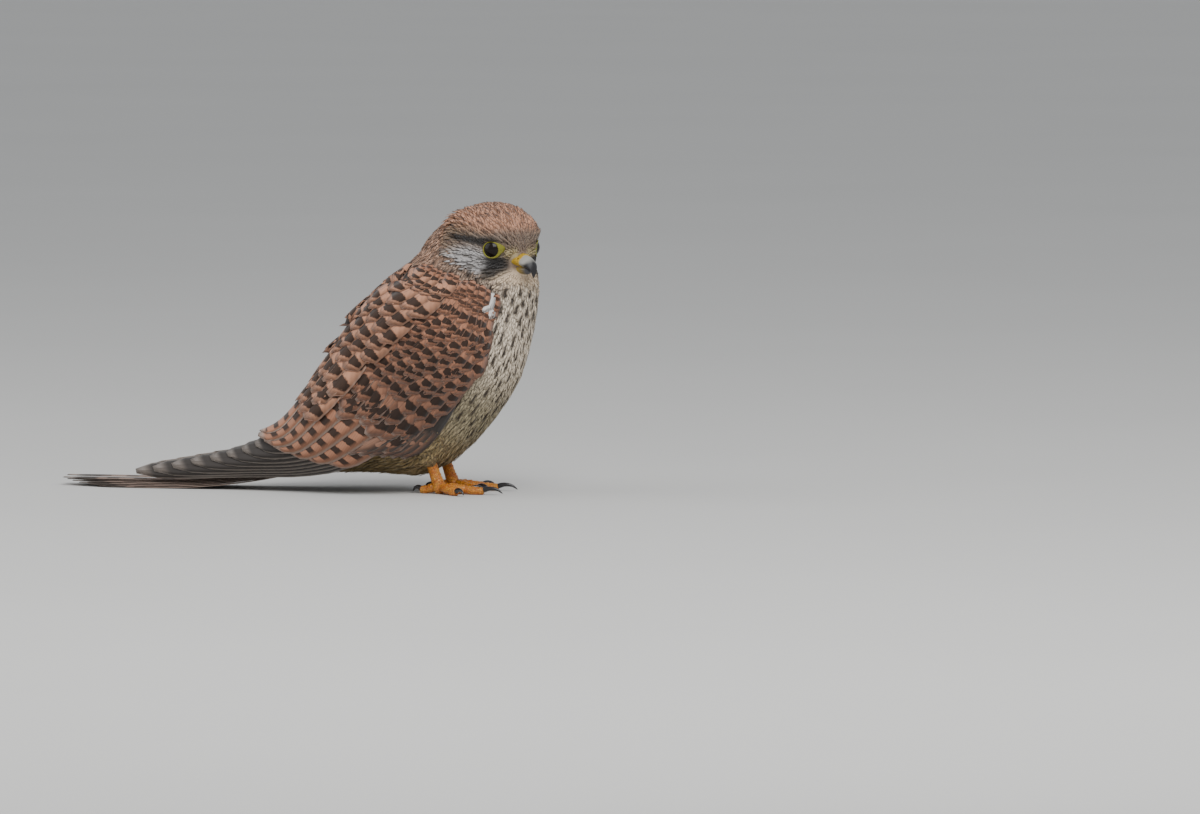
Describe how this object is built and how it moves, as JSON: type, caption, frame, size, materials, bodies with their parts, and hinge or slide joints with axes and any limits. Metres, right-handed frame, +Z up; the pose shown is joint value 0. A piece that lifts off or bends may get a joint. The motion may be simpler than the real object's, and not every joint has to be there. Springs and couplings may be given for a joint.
{
  "type": "common kestrel",
  "caption": "Life-size still model of a perched common kestrel: folded wings, long barred tail laid behind it, hooked bill, its head turned to its right.",
  "frame": {"origin": "middle of the bounding box on the ground that the feet and the tail rest on", "axes": "+X the way the body faces, along bill, body and tail; +Y the bird's left; +Z up"},
  "size_m": [0.2904, 0.0946, 0.1677],
  "materials": {
    "plumage_back": "rufous feathers with dark brown spots",
    "plumage_breast": "cream feathers with dark brown streaks",
    "plumage_head": "buff and grey-brown feathers with fine dark streaks",
    "flight_feathers": "dark grey-brown vanes with thin pale edges",
    "yellow_skin": "bare yellow skin of the cere",
    "orange_skin": "scaly orange-yellow skin",
    "bill_horn": "smooth blue-grey horn with a black tip",
    "claw_horn": "smooth black horn",
    "eye": "wet dark brown eye"
  },
  "bodies": {
    "root": {"head": "plumage_head", "neck": "plumage_head", "torso": "plumage_breast", "cere": "yellow_skin", "bill_upper": "bill_horn", "bill_lower": "bill_horn", "eye_right": "eye", "eye_left": "eye", "tail": "flight_feathers", "thigh_right": "plumage_breast", "leg_right": "orange_skin", "claw_right_inner": "claw_horn", "claw_right_middle": "claw_horn", "claw_right_outer": "claw_horn", "claw_right_hind": "claw_horn", "wing_right_primaries": "flight_feathers", "wing_right_secondaries": "plumage_back", "wing_right_coverts": "plumage_back", "wing_right_scapulars": "plumage_back", "thigh_left": "plumage_breast", "leg_left": "orange_skin", "claw_left_inner": "claw_horn", "claw_left_middle": "claw_horn", "claw_left_outer": "claw_horn", "claw_left_hind": "claw_horn", "wing_left_primaries": "flight_feathers", "wing_left_secondaries": "plumage_back", "wing_left_coverts": "plumage_back", "wing_left_scapulars": "plumage_back"}
  },
  "joints": []
}
